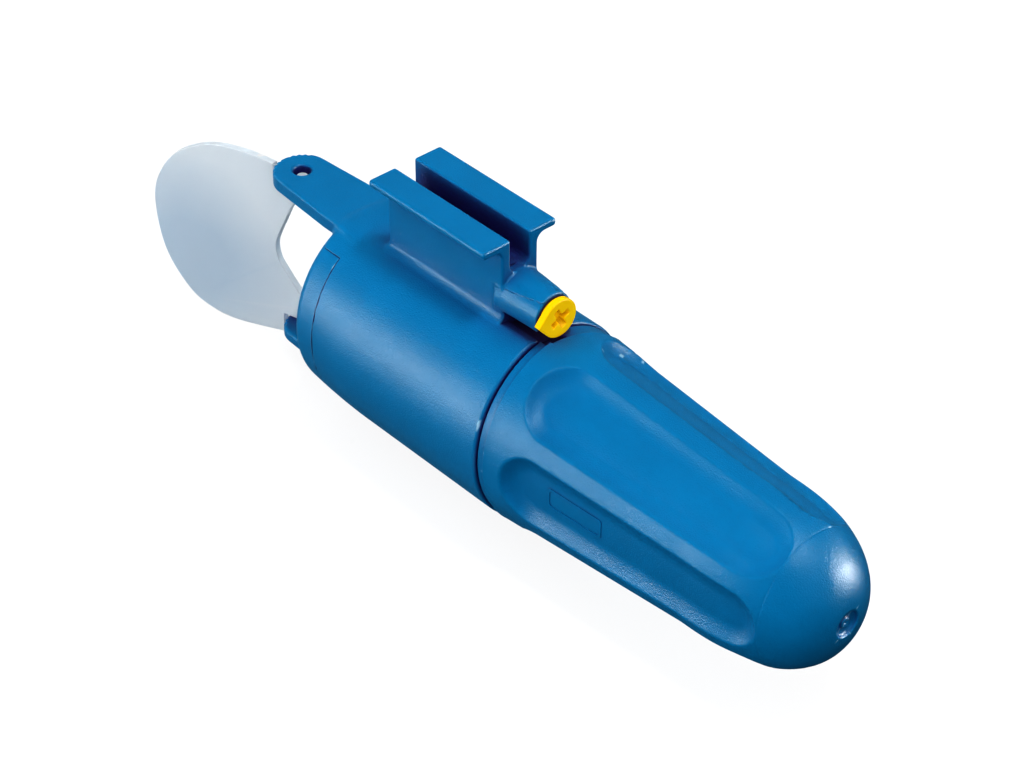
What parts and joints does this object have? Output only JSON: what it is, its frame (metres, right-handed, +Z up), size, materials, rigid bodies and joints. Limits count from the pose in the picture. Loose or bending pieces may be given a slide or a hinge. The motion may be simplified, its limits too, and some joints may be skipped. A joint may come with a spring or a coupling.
{
  "type": "toy boat outboard motor",
  "caption": "Sealed battery outboard for a toy boat: oval motor housing with hull rails, fluted twist-off battery cap, lock knob, propeller and turning rudder.",
  "frame": {"origin": "middle of the hull rails' top plane", "axes": "+X forwards to the nose of the battery cap, +Y to port, +Z up out of the rail tops"},
  "size_m": [0.1476, 0.0302, 0.0488],
  "materials": {
    "blue_plastic": "fine satin grain",
    "clear_plastic": "frosted, light passes",
    "yellow_plastic": "satin",
    "dark_plastic": "satin",
    "white_plastic": "satin",
    "rubber": "matt",
    "steel": "plated",
    "brass": "turned",
    "copper": "bare copper, weighed as brass",
    "ferrite": "sintered, weighed as iron",
    "cell_sleeve": "printed sleeve over steel"
  },
  "bodies": {
    "housing": {"motor_housing": "blue_plastic", "rear_cover": "blue_plastic", "shaft_bush": "brass", "shaft_seal": "rubber", "cell_holder": "dark_plastic", "cap_seal": "rubber", "collector_ring": "brass", "cell_spring": "steel", "motor_cradle_rear": "dark_plastic", "motor_cradle_front": "dark_plastic", "motor_can": "steel", "motor_magnet_port": "ferrite", "motor_magnet_starboard": "ferrite", "motor_end_bell": "white_plastic", "motor_brush_upper": "copper", "motor_brush_lower": "copper", "motor_terminal_port": "brass", "motor_terminal_starboard": "brass", "knob_seal": "rubber"},
    "rotor": {"propeller": "dark_plastic", "propeller_nut": "brass", "thrust_washer": "steel", "propeller_shaft": "steel", "shaft_coupling": "brass", "motor_shaft": "steel", "armature_core": "steel", "armature_coil_1": "copper", "armature_coil_2": "copper", "armature_coil_3": "copper", "commutator": "copper"},
    "rudder": {"rudder": "clear_plastic"},
    "knob": {"lock_knob": "yellow_plastic"},
    "cell": {"cell_can": "cell_sleeve", "cell_positive_cap": "steel"},
    "cap": {"battery_cap": "blue_plastic", "positive_strip": "brass"}
  },
  "joints": [
    {"name": "propeller_spin", "type": "hinge", "parent": "housing", "child": "rotor", "pos_m": [-0.0267, 0, -0.0297], "axis": [1, 0, 0], "continuous": true},
    {"name": "rudder_turn", "type": "hinge", "parent": "housing", "child": "rudder", "pos_m": [-0.0383, 0, -0.0297], "axis": [0, 0, 1], "range_deg": [-60, 30]},
    {"name": "lock_knob_turn", "type": "hinge", "parent": "housing", "child": "knob", "pos_m": [0.021, 0, -0.01], "axis": [1, 0, 0], "range_deg": [0, 90]},
    {"name": "cap_pull", "type": "slide", "parent": "housing", "child": "cell", "axis": [1, 0, 0], "range_m": [0, 0.07]},
    {"name": "cap_twist", "type": "hinge", "parent": "cell", "child": "cap", "pos_m": [0.0198, 0, -0.0297], "axis": [1, 0, 0], "range_deg": [0, 30]}
  ]
}
